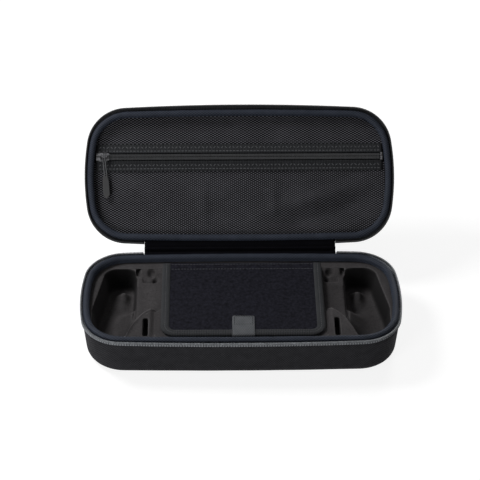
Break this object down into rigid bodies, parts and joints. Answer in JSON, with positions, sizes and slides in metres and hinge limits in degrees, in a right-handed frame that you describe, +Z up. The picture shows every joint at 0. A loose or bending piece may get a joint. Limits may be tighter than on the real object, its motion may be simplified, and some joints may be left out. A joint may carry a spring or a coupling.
{
  "type": "console carrying case",
  "caption": "Zipped, padded carrying case for a handheld console, open, with a moulded tray, a flap over a storage bay and a zipped net pocket in the lid.",
  "frame": {"origin": "middle of the flat underside of the base", "axes": "+X along the case to the viewer's right, -Y out of the front that opens, +Z up"},
  "size_m": [0.325, 0.269, 0.1583],
  "materials": {
    "shell_cover": "woven synthetic cover pressed over stiff foam, matt",
    "rim_binding": "smooth knitted binding over a foam roll",
    "zipper_tape": "fine ribbed zipper tape",
    "zipper_coil": "nylon coil, satin",
    "hinge_fabric": "folded woven strip",
    "tray_lining": "short flocked pile over moulded foam",
    "flap_cloth": "brushed loop cloth over a stiff board",
    "flap_binding": "folded woven binding, stitched",
    "flap_tab": "woven webbing",
    "pocket_net": "fine open net",
    "slider_metal": "black enamel on die-cast metal",
    "pull_cord": "braided cord",
    "pull_rubber": "soft moulded grip, matt"
  },
  "bodies": {
    "base": {"base_shell": "shell_cover", "base_rim_binding": "rim_binding", "base_zipper_tape": "zipper_tape", "base_zipper_coil": "zipper_coil", "hinge_fabric": "hinge_fabric", "base_tray": "tray_lining", "flap_panel": "flap_cloth", "flap_binding": "flap_binding", "flap_hinge_strip": "flap_binding", "flap_pull_tab": "flap_tab", "zipper_tail_left": "zipper_tape", "zipper_tail_right": "zipper_tape", "main_slider_left": "slider_metal", "main_slider_right": "slider_metal", "main_pull_cord_left": "pull_cord", "main_pull_cord_right": "pull_cord", "main_pull_grip_left": "pull_rubber", "main_pull_grip_right": "pull_rubber"},
    "lid": {"lid_shell": "shell_cover", "lid_rim_binding": "rim_binding", "lid_zipper_tape": "zipper_tape", "lid_zipper_coil": "zipper_coil", "pocket_net_upper": "pocket_net", "pocket_net_lower": "pocket_net", "pocket_tape_upper": "zipper_tape", "pocket_tape_lower": "zipper_tape", "pocket_coil_upper": "zipper_coil", "pocket_coil_lower": "zipper_coil", "pocket_stop_left": "slider_metal", "pocket_stop_right": "slider_metal"},
    "pocket_slider_body": {"pocket_slider": "slider_metal", "pocket_pull_cord": "pull_cord", "pocket_pull_grip": "pull_rubber"}
  },
  "joints": [
    {"name": "lid_hinge", "type": "hinge", "parent": "base", "child": "lid", "pos_m": [0, 0.077, 0.048], "axis": [1, 0, 0], "range_deg": [0, 133.2], "deforming": ["hinge_fabric"]},
    {"name": "pocket_slide", "type": "slide", "parent": "lid", "child": "pocket_slider_body", "axis": [1, 0, 0], "range_m": [0, 0.2848]}
  ]
}
